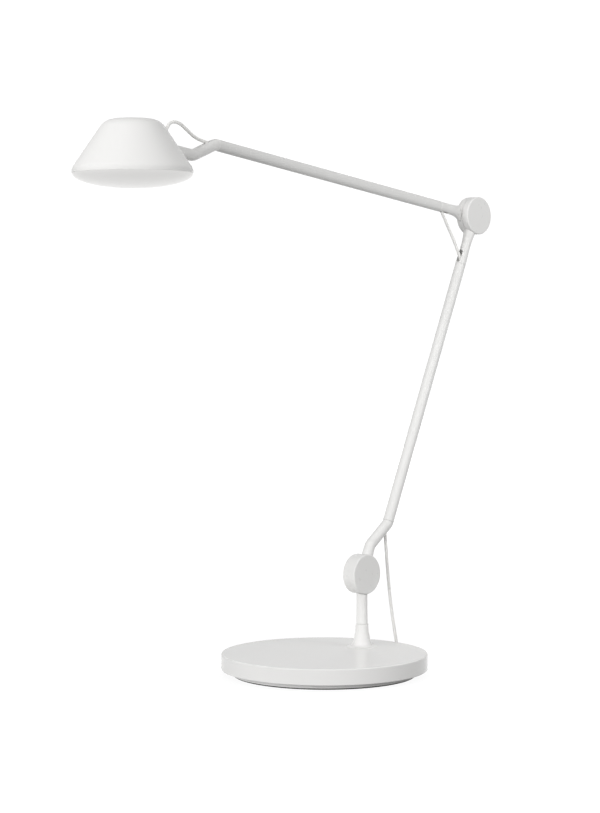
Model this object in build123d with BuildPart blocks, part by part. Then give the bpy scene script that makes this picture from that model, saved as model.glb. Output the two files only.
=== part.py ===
from build123d import *
import os
from math import atan2, cos, radians, sin, tan

os.makedirs("parts", exist_ok=True)

# ---------------------------------------------------------------------------
# Driving dimensions (mm). Origin: centre of the base on the table, +Z up.
# The arms lie in the plane y = 0, the shade is towards -X.
# ---------------------------------------------------------------------------
# base
base_r = 110.0  # radius of the base disc
base_top = 23.0  # height of the base disc's upper face
cover_bottom = 6.2  # lower edge of the base disc
cover_skin = 3.5  # thickness of the cover's top wall
cover_wall = 5.5  # thickness of the cover's rim
plinth_r = 99.5  # recessed bottom plate
pad_t = 1.5  # foot pad thickness

# post
post_x = 59.25  # swivel axis
socket_top = 47.5  # top of the flared socket
stem_bottom = 48.0  # lower face of the turning stem
spindle_r = 4.0

# disc joints (lower joint and elbow)
knuckle_r = 21.5  # radius of the joint discs
knuckle_half = 8.1  # half of the joint's width
cap_t = 2.0  # thickness of the cover discs
seam = 0.2  # half of the gap between the two discs
recess_r = 15.05  # pocket for the bolt under a cover disc
web_t = 2.0  # wall between pocket and seam
turn_gap = 0.3  # room round the other disc
bolt_r = 3.0

# arms
tube_r = 6.0
tube_bore_r = 5.0
spigot_r = 4.98
cord_hole_r = 3.1
lower_lean = 23.46  # lower arm from the vertical, towards +X, degrees
lower_reach = 438.6  # lower joint to elbow, along the tube
crank = 17.6  # offset of the lower gooseneck
upper_rise = 8.12  # upper arm above the horizontal, towards -X, degrees
upper_reach = 415.75  # elbow to the bend of the head gooseneck
joint1_z = 101.83  # height of the lower joint
low_seam = 66.5  # lower gooseneck ends and the tube starts
low_end_seam = 61.5  # lower tube ends, measured from the elbow
up_end_seam = 65.0  # upper tube starts, measured from the elbow
head_seam = 3.5  # upper tube ends before the head bend
ring_gap = 0.25  # fine ring where the lower tube meets a casting
head_crank_u, head_crank_v = 28.5, 16.8  # cranked part of the head gooseneck
head_reach = 65.0  # head bend to head pivot

# head pivot
pivot_r = 8.0
pivot_half = 6.2
pin_r = 2.0

# shade
shade_x = -272.1  # vertical axis of the shade
rim_z = 521.7  # lower edge of the shade
shade_r = 59.3
shade_wall = 1.5
dome_r, dome_h = 59.0, 14.3  # opal diffuser

# cord
cord_d = 3.4
cord_r = cord_d / 2

# ---------------------------------------------------------------------------
# Derived points and planes
# ---------------------------------------------------------------------------
ta, pa = radians(lower_lean), radians(upper_rise)
low_u, low_v = (sin(ta), 0, cos(ta)), (cos(ta), 0, -sin(ta))
up_u, up_y = (-cos(pa), 0, sin(pa)), (sin(pa), 0, cos(pa))
along_y = (0, 1, 0)

joint1 = Vector(post_x, 0, joint1_z)
joint2 = joint1 + Vector(*low_u) * lower_reach + Vector(*low_v) * crank
bend2 = joint2 + Vector(*up_u) * upper_reach
joint3 = bend2 + Vector(*up_u) * head_reach - Vector(*up_y) * head_crank_v

lower_plane = Plane(origin=joint1, x_dir=low_u, z_dir=along_y)  # local y = low_v
lower_end_plane = Plane(origin=joint2, x_dir=(-low_u[0], 0, -low_u[2]), z_dir=along_y)
upper_plane = Plane(origin=joint2, x_dir=up_u, z_dir=along_y)  # local y = up_y
head_plane = Plane(origin=bend2, x_dir=up_u, z_dir=along_y)
disc1 = Plane(origin=joint1, x_dir=(1, 0, 0), z_dir=along_y)
disc2 = Plane(origin=joint2, x_dir=(1, 0, 0), z_dir=along_y)
disc3 = Plane(origin=joint3, x_dir=(1, 0, 0), z_dir=along_y)
post_axis = Axis((post_x, 0, 0), (0, 0, 1))
post_plane = Plane(origin=(post_x, 0, 0), x_dir=(1, 0, 0), z_dir=(0, -1, 0))
shade_axis = Axis((shade_x, 0, 0), (0, 0, 1))
shade_plane = Plane(origin=(shade_x, 0, rim_z), x_dir=(1, 0, 0), z_dir=(0, -1, 0))
print("joints", joint1, joint2, bend2, joint3)


def at(plane, u, v, w=0.0):
    return plane.from_local_coords(Vector(u, v, w))


def across(plane, u, v=0.0):
    """A plane square to the arm at (u, v), looking along the arm."""
    return Plane(origin=at(plane, u, v), x_dir=along_y, z_dir=plane.x_dir)


# ---------------------------------------------------------------------------
# Base
# ---------------------------------------------------------------------------
with BuildPart() as base_cover:
    with BuildSketch(Plane.XY.offset(cover_bottom)):
        Circle(base_r)
    extrude(amount=base_top - cover_bottom)
    fillet(base_cover.edges().filter_by(GeomType.CIRCLE).sort_by(Axis.Z)[-1], 1.3)
    fillet(base_cover.edges().filter_by(GeomType.CIRCLE).sort_by(Axis.Z)[0], 0.8)
    with BuildSketch(Plane.XY.offset(cover_bottom)):
        Circle(base_r - cover_wall)
    extrude(amount=base_top - cover_skin - cover_bottom, mode=Mode.SUBTRACT)
    with BuildSketch(Plane.XY.offset(cover_bottom)):
        with Locations((post_x, 0)):
            Circle(9.05)
    extrude(amount=base_top, mode=Mode.SUBTRACT)
base_cover.part.label = "base_cover"
export_step(base_cover.part, "parts/base_cover.step")

ballast_top = base_top - cover_skin - 0.05
ballast_bottom = 12.4

with BuildPart() as ballast_plate:
    with BuildSketch(Plane.XY.offset(ballast_bottom)):
        Circle(base_r - cover_wall - 0.4)
        with Locations((post_x, 0)):
            Circle(9.05, mode=Mode.SUBTRACT)
    extrude(amount=ballast_top - ballast_bottom)
    with BuildSketch(Plane.XY.offset(ballast_bottom)):
        with PolarLocations(80, 4, start_angle=45):
            Circle(2.02)
    extrude(amount=5.2, mode=Mode.SUBTRACT)
ballast_plate.part.label = "ballast_plate"
export_step(ballast_plate.part, "parts/ballast_plate.step")

with BuildPart() as bottom_plate:
    with BuildSketch(Plane.XY.offset(pad_t)):
        Circle(plinth_r)
    extrude(amount=6.2 - pad_t)
    fillet(bottom_plate.edges().filter_by(GeomType.CIRCLE).sort_by(Axis.Z)[0], 0.6)
    with BuildSketch(Plane.XY.offset(6.2)):
        with PolarLocations(80, 4, start_angle=45):
            Circle(6.0)
    extrude(amount=ballast_bottom - 0.05 - 6.2)
    with BuildSketch(Plane.XY.offset(pad_t)):
        with PolarLocations(80, 4, start_angle=45):
            Circle(2.2)
    extrude(amount=12, mode=Mode.SUBTRACT)
    with BuildSketch(Plane.XY.offset(pad_t)):
        with PolarLocations(80, 4, start_angle=45):
            Circle(4.3)
    extrude(amount=2.4, mode=Mode.SUBTRACT)
bottom_plate.part.label = "bottom_plate"
export_step(bottom_plate.part, "parts/bottom_plate.step")

with BuildPart() as bottom_screws:
    with BuildSketch(Plane.XY.offset(pad_t + 0.2)):
        with PolarLocations(80, 4, start_angle=45):
            Circle(3.9)
    extrude(amount=2.2)
    with BuildSketch(Plane.XY.offset(pad_t + 2.4)):
        with PolarLocations(80, 4, start_angle=45):
            Circle(2.0)
    extrude(amount=13.2)
    with BuildSketch(Plane.XY.offset(pad_t + 0.2)):
        with PolarLocations(80, 4, start_angle=45):
            RegularPolygon(1.5, 6)
    extrude(amount=1.3, mode=Mode.SUBTRACT)
bottom_screws.part.label = "bottom_screws"
export_step(bottom_screws.part, "parts/bottom_screws.step")

with BuildPart() as foot_pad:
    with BuildSketch():
        Circle(plinth_r - 2.2)
    extrude(amount=pad_t)
    fillet(foot_pad.edges().filter_by(GeomType.CIRCLE).sort_by(Axis.Z)[0], 0.5)
foot_pad.part.label = "foot_pad"
export_step(foot_pad.part, "parts/foot_pad.step")

# Flared socket: the concave foot sits on the cover, the tail goes down through cover and ballast.
with BuildPart() as post_socket:
    with BuildSketch(post_plane):
        with BuildLine():
            Spline(
                (16.6, base_top + 0.3),
                (13.4, 23.9),
                (11.5, 25.2),
                (10.05, 27.6),
                (8.95, 31.2),
                (7.65, 38.0),
                (6.95, socket_top),
                tangents=((-1, 0.1), (-0.04, 1)),
            )
            Polyline(
                (6.95, socket_top),
                (5.52, socket_top),
                (5.52, 15.5),
                (6.35, 15.5),
                (6.35, 9.0),
                (9.0, 9.0),
                (9.0, base_top),
                (16.6, base_top),
                (16.6, base_top + 0.3),
            )
        make_face()
    revolve(axis=post_axis)
post_socket.part.label = "post_socket"
export_step(post_socket.part, "parts/post_socket.step")

with BuildPart() as socket_nut:
    with BuildSketch(Plane.XY.offset(9.3)):
        with Locations((post_x, 0)):
            RegularPolygon(15.0, 8)
            Circle(9.04, mode=Mode.SUBTRACT)
    extrude(amount=ballast_bottom - 0.05 - 9.3)
socket_nut.part.label = "socket_nut"
export_step(socket_nut.part, "parts/socket_nut.step")

with BuildPart() as swivel_bush:
    with BuildSketch(post_plane):
        with BuildLine():
            Polyline(
                (spindle_r + 0.04, 15.7),
                (5.5, 15.7),
                (5.5, socket_top + 0.02),
                (5.85, socket_top + 0.02),
                (5.85, stem_bottom - 0.1),
                (spindle_r + 0.04, stem_bottom - 0.1),
                close=True,
            )
        make_face()
    revolve(axis=post_axis)
swivel_bush.part.label = "swivel_bush"
export_step(swivel_bush.part, "parts/swivel_bush.step")

# ---------------------------------------------------------------------------
# Post: turns on the base
# ---------------------------------------------------------------------------
with BuildPart() as post_stem:
    with BuildSketch(post_plane):
        with BuildLine():
            Spline((6.2, stem_bottom), (6.0, 60), (5.95, 72), (6.15, joint1_z - 16.0))
            Polyline(
                (6.15, joint1_z - 16.0),
                (0, joint1_z - 16.0),
                (0, stem_bottom),
                (6.2, stem_bottom),
            )
        make_face()
    revolve(axis=post_axis)
    with BuildSketch(disc1.offset(seam)):
        Circle(knuckle_r)
    extrude(amount=knuckle_half - cap_t - seam)
    # seat of the cover disc, bolt pocket and bolt hole
    with BuildSketch(disc1.offset(knuckle_half - cap_t)):
        Circle(knuckle_r + 0.05)
    extrude(amount=4, mode=Mode.SUBTRACT)
    with BuildSketch(disc1.offset(seam + web_t)):
        Circle(recess_r)
    extrude(amount=8, mode=Mode.SUBTRACT)
    with BuildSketch(disc1.offset(-1)):
        Circle(bolt_r + 0.02)
    extrude(amount=8, mode=Mode.SUBTRACT)
    # room for the front disc
    with BuildSketch(disc1.offset(seam)):
        Circle(knuckle_r + turn_gap)
    extrude(amount=-12, mode=Mode.SUBTRACT)
    # bore for the spindle
    with BuildSketch(Plane.XY.offset(stem_bottom)):
        with Locations((post_x, 0)):
            Circle(spindle_r + 0.02)
    extrude(amount=22.2, mode=Mode.SUBTRACT)
post_stem.part.label = "post_stem"
export_step(post_stem.part, "parts/post_stem.step")

with BuildPart() as swivel_spindle:
    with BuildSketch(Plane.XY.offset(15.8)):
        with Locations((post_x, 0)):
            Circle(spindle_r)
    extrude(amount=54.2)
    with BuildSketch(Plane.XY.offset(9.8)):
        with Locations((post_x, 0)):
            Circle(3.0)
    extrude(amount=6.0)
swivel_spindle.part.label = "swivel_spindle"
export_step(swivel_spindle.part, "parts/swivel_spindle.step")

with BuildPart() as swivel_washer:
    with BuildSketch(Plane.XY.offset(14.7)):
        with Locations((post_x, 0)):
            Circle(5.9)
            Circle(3.1, mode=Mode.SUBTRACT)
    extrude(amount=0.7)
swivel_washer.part.label = "swivel_washer"
export_step(swivel_washer.part, "parts/swivel_washer.step")

with BuildPart() as swivel_nut:
    with BuildSketch(Plane.XY.offset(10.4)):
        with Locations((post_x, 0)):
            RegularPolygon(5.0, 6, major_radius=False)
            Circle(3.02, mode=Mode.SUBTRACT)
    extrude(amount=4.25)
swivel_nut.part.label = "swivel_nut"
export_step(swivel_nut.part, "parts/swivel_nut.step")

# ---------------------------------------------------------------------------
# Cover discs of the two disc joints
# ---------------------------------------------------------------------------
cap_in = knuckle_half - cap_t + 0.03
rear_out = knuckle_half + 1.0  # outer face of the rear discs

with BuildPart() as lower_rear_cap:
    with BuildSketch(disc1.offset(cap_in)):
        Circle(knuckle_r)
    extrude(amount=rear_out - cap_in)
    fillet(lower_rear_cap.edges().filter_by(GeomType.CIRCLE).sort_by(Axis.Y)[-1], 1.5)
    with BuildSketch(disc1.offset(cap_in - 1.1)):
        Circle(recess_r - 0.05)
        Circle(recess_r - 2.2, mode=Mode.SUBTRACT)
    extrude(amount=1.1)
lower_rear_cap.part.label = "lower_rear_cap"
export_step(lower_rear_cap.part, "parts/lower_rear_cap.step")

with BuildPart() as lower_front_cap:
    with BuildSketch(disc1.offset(-knuckle_half)):
        Circle(knuckle_r)
    extrude(amount=knuckle_half - cap_in)
    fillet(lower_front_cap.edges().filter_by(GeomType.CIRCLE).sort_by(Axis.Y)[0], 1.5)
    with BuildSketch(disc1.offset(-cap_in)):
        Circle(recess_r - 0.05)
        Circle(recess_r - 2.2, mode=Mode.SUBTRACT)
    extrude(amount=1.1)
lower_front_cap.part.label = "lower_front_cap"
export_step(lower_front_cap.part, "parts/lower_front_cap.step")

with BuildPart() as elbow_front_cap:
    with BuildSketch(disc2.offset(-knuckle_half)):
        Circle(knuckle_r)
    extrude(amount=knuckle_half - cap_in)
    fillet(elbow_front_cap.edges().filter_by(GeomType.CIRCLE).sort_by(Axis.Y)[0], 1.5)
    with BuildSketch(disc2.offset(-cap_in)):
        Circle(recess_r - 0.05)
        Circle(recess_r - 2.2, mode=Mode.SUBTRACT)
    extrude(amount=1.1)
elbow_front_cap.part.label = "elbow_front_cap"
export_step(elbow_front_cap.part, "parts/elbow_front_cap.step")

with BuildPart() as elbow_rear_cap:
    with BuildSketch(disc2.offset(cap_in)):
        Circle(knuckle_r)
    extrude(amount=rear_out - cap_in)
    fillet(elbow_rear_cap.edges().filter_by(GeomType.CIRCLE).sort_by(Axis.Y)[-1], 1.5)
    with BuildSketch(disc2.offset(cap_in - 1.1)):
        Circle(recess_r - 0.05)
        Circle(recess_r - 2.2, mode=Mode.SUBTRACT)
    extrude(amount=1.1)
elbow_rear_cap.part.label = "elbow_rear_cap"
export_step(elbow_rear_cap.part, "parts/elbow_rear_cap.step")

# ---------------------------------------------------------------------------
# Bolt, nut and washers of the two disc joints: head in the rear disc, nut in the front disc
# ---------------------------------------------------------------------------
with BuildPart() as lower_pivot_bolt:
    with BuildSketch(disc1.offset(seam + web_t + 0.01)):
        RegularPolygon(5.0, 6, major_radius=False)
    extrude(amount=3.3)
    with BuildSketch(disc1.offset(-5.95)):
        Circle(bolt_r)
    extrude(amount=5.95 + seam + web_t + 0.1)
lower_pivot_bolt.part.label = "lower_pivot_bolt"
export_step(lower_pivot_bolt.part, "parts/lower_pivot_bolt.step")

with BuildPart() as elbow_pivot_bolt:
    with BuildSketch(disc2.offset(seam + web_t + 0.01)):
        RegularPolygon(5.0, 6, major_radius=False)
    extrude(amount=3.3)
    with BuildSketch(disc2.offset(-5.95)):
        Circle(bolt_r)
    extrude(amount=5.95 + seam + web_t + 0.1)
elbow_pivot_bolt.part.label = "elbow_pivot_bolt"
export_step(elbow_pivot_bolt.part, "parts/elbow_pivot_bolt.step")

with BuildPart() as lower_pivot_nut:
    with BuildSketch(disc1.offset(-5.85)):
        RegularPolygon(5.0, 6, major_radius=False)
        Circle(bolt_r + 0.02, mode=Mode.SUBTRACT)
    extrude(amount=2.6)
lower_pivot_nut.part.label = "lower_pivot_nut"
export_step(lower_pivot_nut.part, "parts/lower_pivot_nut.step")

with BuildPart() as elbow_pivot_nut:
    with BuildSketch(disc2.offset(-5.85)):
        RegularPolygon(5.0, 6, major_radius=False)
        Circle(bolt_r + 0.02, mode=Mode.SUBTRACT)
    extrude(amount=2.6)
elbow_pivot_nut.part.label = "elbow_pivot_nut"
export_step(elbow_pivot_nut.part, "parts/elbow_pivot_nut.step")

# conical spring washers between the front web and the nut (drawn in radius and y)
spring_profile = [(7.0, -2.24), (7.0, -2.64), (3.3, -3.22), (3.3, -2.82)]

with BuildPart() as lower_spring_washer:
    with BuildSketch(Plane(origin=joint1, x_dir=(1, 0, 0), z_dir=(0, 0, 1))):
        with BuildLine():
            Polyline(*spring_profile, close=True)
        make_face()
    revolve(axis=Axis(joint1, along_y))
lower_spring_washer.part.label = "lower_spring_washer"
export_step(lower_spring_washer.part, "parts/lower_spring_washer.step")

with BuildPart() as elbow_spring_washer:
    with BuildSketch(Plane(origin=joint2, x_dir=(1, 0, 0), z_dir=(0, 0, 1))):
        with BuildLine():
            Polyline(*spring_profile, close=True)
        make_face()
    revolve(axis=Axis(joint2, along_y))
elbow_spring_washer.part.label = "elbow_spring_washer"
export_step(elbow_spring_washer.part, "parts/elbow_spring_washer.step")

with BuildPart() as lower_friction_washer:
    with BuildSketch(disc1.offset(-seam + 0.03)):
        Circle(knuckle_r - 0.05)
        Circle(bolt_r + 0.1, mode=Mode.SUBTRACT)
    extrude(amount=2 * seam - 0.05)
lower_friction_washer.part.label = "lower_friction_washer"
export_step(lower_friction_washer.part, "parts/lower_friction_washer.step")

with BuildPart() as elbow_friction_washer:
    with BuildSketch(disc2.offset(-seam + 0.03)):
        Circle(knuckle_r - 0.4)
        Circle(bolt_r + 0.1, mode=Mode.SUBTRACT)
    extrude(amount=2 * seam - 0.05)
elbow_friction_washer.part.label = "elbow_friction_washer"
export_step(elbow_friction_washer.part, "parts/elbow_friction_washer.step")

# ---------------------------------------------------------------------------
# Lower arm
# ---------------------------------------------------------------------------
low_kink = 33.2  # first bend of the gooseneck, from the lower joint
low_bend = 64.6  # second bend

with BuildPart() as lower_gooseneck:
    with BuildLine(lower_plane):
        FilletPolyline(
            (16.2, 0), (low_kink, 0), (low_bend, crank), (low_seam, crank), radius=[8.5, 6.5]
        )
    with BuildSketch(across(lower_plane, 16.2)):
        Circle(tube_r)
    sweep()
    # fairing from the flat disc to the round neck
    with BuildSketch(across(lower_plane, 16.5)):
        with Locations((-0.5, 0)):
            Ellipse(6.6, 6.5)
    with BuildSketch(across(lower_plane, 26.0)):
        Circle(tube_r - 0.02)
    loft()
    with BuildSketch(disc1.offset(-(knuckle_half - cap_t))):
        Circle(knuckle_r)
    extrude(amount=knuckle_half - cap_t - seam)
    with BuildSketch(across(lower_plane, low_seam - 0.01, crank)):
        Circle(spigot_r)
    extrude(amount=15)
    # seat of the cover disc, nut pocket and bolt hole
    with BuildSketch(disc1.offset(-(knuckle_half - cap_t))):
        Circle(knuckle_r + 0.05)
    extrude(amount=-4, mode=Mode.SUBTRACT)
    with BuildSketch(disc1.offset(-(seam + web_t))):
        Circle(recess_r)
    extrude(amount=-8, mode=Mode.SUBTRACT)
    with BuildSketch(disc1.offset(1)):
        Circle(bolt_r + 0.04)
    extrude(amount=-8, mode=Mode.SUBTRACT)
    # room for the rear disc
    with BuildSketch(disc1.offset(-seam)):
        Circle(knuckle_r + turn_gap)
    extrude(amount=12, mode=Mode.SUBTRACT)
    # straight cord hole in line with the tube, open on the underside
    with BuildSketch(across(lower_plane, 43.0, crank)):
        Circle(cord_hole_r)
    extrude(amount=45, mode=Mode.SUBTRACT)
lower_gooseneck.part.label = "lower_gooseneck"
export_step(lower_gooseneck.part, "parts/lower_gooseneck.step")

with BuildPart() as lower_tube:
    with BuildSketch(across(lower_plane, low_seam + ring_gap, crank)):
        Circle(tube_r)
        Circle(tube_bore_r, mode=Mode.SUBTRACT)
    extrude(amount=lower_reach - low_end_seam - low_seam - 2 * ring_gap)
lower_tube.part.label = "lower_tube"
export_step(lower_tube.part, "parts/lower_tube.step")

with BuildPart() as lower_arm_end:
    with BuildSketch(lower_end_plane):
        with BuildLine():
            Spline(
                (16.2, 7.6),
                (21.5, 6.8),
                (26, 6.15),
                (32, 5.65),
                (40, 5.45),
                (49, 5.6),
                (57, 5.93),
                (low_end_seam, tube_r),
            )
            Polyline((low_end_seam, tube_r), (low_end_seam, 0), (16.2, 0), (16.2, 7.6))
        make_face()
    revolve(axis=Axis(joint2, (-low_u[0], 0, -low_u[2])))
    with BuildSketch(disc2.offset(-(knuckle_half - cap_t))):
        Circle(knuckle_r)
    extrude(amount=knuckle_half - cap_t - seam)
    with BuildSketch(across(lower_end_plane, low_end_seam - 0.01)):
        Circle(spigot_r)
    extrude(amount=15)
    with BuildSketch(disc2.offset(-(knuckle_half - cap_t))):
        Circle(knuckle_r + 0.05)
    extrude(amount=-4, mode=Mode.SUBTRACT)
    with BuildSketch(disc2.offset(-(seam + web_t))):
        Circle(recess_r)
    extrude(amount=-8, mode=Mode.SUBTRACT)
    with BuildSketch(disc2.offset(1)):
        Circle(bolt_r + 0.04)
    extrude(amount=-8, mode=Mode.SUBTRACT)
    with BuildSketch(disc2.offset(-seam)):
        Circle(knuckle_r + turn_gap)
    extrude(amount=12, mode=Mode.SUBTRACT)
    # cord hole from the tube and the slot where the cord comes out
    with BuildSketch(across(lower_end_plane, 47.0)):
        Circle(cord_hole_r)
    extrude(amount=45, mode=Mode.SUBTRACT)
    with BuildSketch(
        Plane(
            origin=at(lower_end_plane, 52.8, 0),
            x_dir=lower_end_plane.x_dir,
            z_dir=lower_end_plane.y_dir,
        )
    ):
        SlotOverall(15.4, 5.2)
    extrude(amount=10, mode=Mode.SUBTRACT)
lower_arm_end.part.label = "lower_arm_end"
export_step(lower_arm_end.part, "parts/lower_arm_end.step")

# ---------------------------------------------------------------------------
# Upper arm
# ---------------------------------------------------------------------------
# The round neck moves over to the rear disc and widens as it reaches it: (along, middle in y, half width, half height)
neck_sections = [
    (15.0, 4.2, 3.9, 10.6),
    (22.5, 4.1, 4.0, 8.7),
    (30.5, 1.75, 4.75, 6.8),
    (39.0, 0.15, 5.3, 6.0),
    (48.0, 0.0, 5.45, 5.75),
    (58.0, 0.0, 5.8, 5.85),
    (up_end_seam, 0.0, tube_r, tube_r),
]

with BuildPart() as upper_arm_end:
    for along, middle, half_wide, half_high in neck_sections:
        with BuildSketch(across(upper_plane, along)):
            with Locations((middle, 0)):
                Ellipse(half_wide, half_high)
    loft()
    with BuildSketch(disc2.offset(seam)):
        Circle(knuckle_r)
    extrude(amount=knuckle_half - cap_t - seam)
    with BuildSketch(across(upper_plane, up_end_seam - 0.01)):
        Circle(spigot_r)
    extrude(amount=15)
    with BuildSketch(disc2.offset(knuckle_half - cap_t)):
        Circle(knuckle_r + 0.05)
    extrude(amount=4, mode=Mode.SUBTRACT)
    with BuildSketch(disc2.offset(seam + web_t)):
        Circle(recess_r)
    extrude(amount=8, mode=Mode.SUBTRACT)
    with BuildSketch(disc2.offset(-1)):
        Circle(bolt_r + 0.02)
    extrude(amount=8, mode=Mode.SUBTRACT)
    with BuildSketch(disc2.offset(seam)):
        Circle(knuckle_r + turn_gap)
    extrude(amount=-12, mode=Mode.SUBTRACT)
    with BuildSketch(across(upper_plane, 49.0)):
        Circle(cord_hole_r)
    extrude(amount=45, mode=Mode.SUBTRACT)
    with BuildSketch(
        Plane(
            origin=at(upper_plane, 55.0, 0),
            x_dir=upper_plane.x_dir,
            z_dir=(-up_y[0], 0, -up_y[2]),
        )
    ):
        SlotOverall(16.4, 5.2)
    extrude(amount=10, mode=Mode.SUBTRACT)
upper_arm_end.part.label = "upper_arm_end"
export_step(upper_arm_end.part, "parts/upper_arm_end.step")

with BuildPart() as upper_tube:
    with BuildSketch(across(upper_plane, up_end_seam + 0.06)):
        Circle(tube_r)
        Circle(tube_bore_r, mode=Mode.SUBTRACT)
    extrude(amount=upper_reach - head_seam - up_end_seam - 0.12)
upper_tube.part.label = "upper_tube"
export_step(upper_tube.part, "parts/upper_tube.step")

with BuildPart() as head_gooseneck:
    with BuildLine(head_plane):
        FilletPolyline(
            (-head_seam, 0),
            (0, 0),
            (head_crank_u, -head_crank_v),
            (head_reach - 16, -head_crank_v),
            radius=[11, 15],
        )
    with BuildSketch(across(head_plane, -head_seam)):
        Circle(tube_r)
    sweep()
    # the neck narrows towards the pivot
    with BuildSketch(head_plane):
        with BuildLine():
            Spline(
                (head_reach - 16.01, tube_r - head_crank_v),
                (head_reach - 12, 5.6 - head_crank_v),
                (head_reach - 7.5, 4.9 - head_crank_v),
                (head_reach - 4.5, 4.7 - head_crank_v),
                tangents=((1, 0), (1, 0)),
            )
            Polyline(
                (head_reach - 4.5, 4.7 - head_crank_v),
                (head_reach - 4.5, -head_crank_v),
                (head_reach - 16.01, -head_crank_v),
                (head_reach - 16.01, tube_r - head_crank_v),
            )
        make_face()
    revolve(axis=Axis(joint3, up_u))
    with BuildSketch(disc3.offset(seam)):
        Circle(pivot_r)
    extrude(amount=pivot_half - seam)
    fillet(
        head_gooseneck.edges()
        .filter_by(GeomType.CIRCLE)
        .filter_by(lambda e: abs(e.radius - pivot_r) < 0.01)
        .sort_by(Axis.Y)[-1],
        0.6,
    )
    with BuildSketch(across(head_plane, -head_seam + 0.01)):
        Circle(spigot_r)
    extrude(amount=-15)
    with BuildSketch(disc3.offset(3.2)):
        Circle(3.75)
    extrude(amount=8, mode=Mode.SUBTRACT)
    with BuildSketch(disc3.offset(-1)):
        Circle(pin_r + 0.02)
    extrude(amount=8, mode=Mode.SUBTRACT)
    with BuildSketch(disc3.offset(seam)):
        Circle(pivot_r + turn_gap)
    extrude(amount=-12, mode=Mode.SUBTRACT)
    # straight cord hole in line with the tube, open on the upper side
    with BuildSketch(across(head_plane, -22)):
        Circle(cord_r + 0.4)
    extrude(amount=45, mode=Mode.SUBTRACT)
head_gooseneck.part.label = "head_gooseneck"
export_step(head_gooseneck.part, "parts/head_gooseneck.step")

with BuildPart() as head_pivot_screw:
    with BuildSketch(disc3.offset(3.21)):
        Circle(3.5)
    extrude(amount=2.5)
    with BuildSketch(disc3.offset(-5.6)):
        Circle(pin_r)
    extrude(amount=5.6 + 3.3)
    with BuildSketch(disc3.offset(3.21 + 2.5)):
        RegularPolygon(1.5, 6)
    extrude(amount=-1.5, mode=Mode.SUBTRACT)
head_pivot_screw.part.label = "head_pivot_screw"
export_step(head_pivot_screw.part, "parts/head_pivot_screw.step")

with BuildPart() as head_pivot_nut:
    with BuildSketch(disc3.offset(-5.55)):
        RegularPolygon(3.5, 6, major_radius=False)
        Circle(pin_r + 0.02, mode=Mode.SUBTRACT)
    extrude(amount=2.25)
head_pivot_nut.part.label = "head_pivot_nut"
export_step(head_pivot_nut.part, "parts/head_pivot_nut.step")

with BuildPart() as head_friction_washer:
    with BuildSketch(disc3.offset(-seam + 0.03)):
        Circle(pivot_r - 0.8)
        Circle(pin_r + 0.1, mode=Mode.SUBTRACT)
    extrude(amount=2 * seam - 0.05)
head_friction_washer.part.label = "head_friction_washer"
export_step(head_friction_washer.part, "parts/head_friction_washer.step")

# ---------------------------------------------------------------------------
# Head
# ---------------------------------------------------------------------------
shoulder = (27.0, 52.7)  # corner between top and cone, before rounding
skirt = (shade_r, 4.6)  # corner between cone and rim, before rounding
cone_slope = (skirt[0] - shoulder[0]) / (shoulder[1] - skirt[1])
wall_tilt = atan2(skirt[0] - shoulder[0], shoulder[1] - skirt[1])
wall_out = (cos(wall_tilt), 0, sin(wall_tilt))  # outward normal of the rear wall
gland_z = 37.3
gland_spot = Vector(
    shade_x + shoulder[0] + (shoulder[1] - gland_z) * cone_slope, 0, rim_z + gland_z
)
gland_dir = Vector(cos(radians(46)), 0, sin(radians(46)))

with BuildPart() as shade:
    with BuildSketch(shade_plane):
        with BuildLine():
            FilletPolyline(
                (0, 53.3), shoulder, skirt, (shade_r, 0.1), radius=[17.6, 9.0]
            )
            Polyline((shade_r, 0.1), (0, 0.1), (0, 53.3))
        make_face()
    revolve(axis=shade_axis)
    offset(openings=shade.faces().sort_by(Axis.Z)[0], amount=-shade_wall)
    # slot for the head pivot
    with BuildSketch(
        Plane(
            origin=joint3 + Vector(*wall_out) * 8,
            x_dir=along_y,
            z_dir=wall_out,
        )
    ):
        with Locations((0, -1.6)):
            RectangleRounded(14.4, 24.4, 5.0)
    extrude(amount=-20, mode=Mode.SUBTRACT)
    # hole for the cord gland
    with BuildSketch(Plane(origin=gland_spot + gland_dir * 6, z_dir=gland_dir)):
        Circle(3.05)
    extrude(amount=-14, mode=Mode.SUBTRACT)
shade.part.label = "shade"
export_step(shade.part, "parts/shade.step")

sink_z = rim_z + 14.0  # lower face of the heat sink
sink_t = 3.0

with BuildPart() as head_bracket:
    with BuildSketch(disc3.offset(-seam)):
        Circle(pivot_r)
    extrude(amount=-(pivot_half - seam))
    with BuildSketch(Plane(origin=(0, -seam, 0), x_dir=(1, 0, 0), z_dir=(0, -1, 0))):
        with BuildLine():
            Polyline(
                (joint3.X - 2.5, joint3.Z + 7.5),
                (joint3.X - 22, sink_z + sink_t + 9),
                (joint3.X - 29, sink_z + sink_t + 4),
                (joint3.X - 29, sink_z + sink_t + 1),
                (joint3.X - 11, sink_z + sink_t + 1),
                (joint3.X - 3.5, joint3.Z - 7.1),
                close=True,
            )
        make_face()
    extrude(amount=pivot_half - seam)
    with BuildSketch(Plane.XY.offset(sink_z + sink_t + 0.02)):
        with Locations((joint3.X - 20.5, 0)):
            RectangleRounded(19, 30, 2.5)
        with Locations((joint3.X - 20.5, 11), (joint3.X - 20.5, -11)):
            Circle(1.7, mode=Mode.SUBTRACT)
    extrude(amount=2.6)
    with BuildSketch(disc3.offset(-3.2)):
        Circle(4.4)
    extrude(amount=-8, mode=Mode.SUBTRACT)
    with BuildSketch(disc3.offset(1)):
        Circle(pin_r + 0.04)
    extrude(amount=-9, mode=Mode.SUBTRACT)
head_bracket.part.label = "head_bracket"
export_step(head_bracket.part, "parts/head_bracket.step")

bracket_x = joint3.X - 20.5

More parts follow.
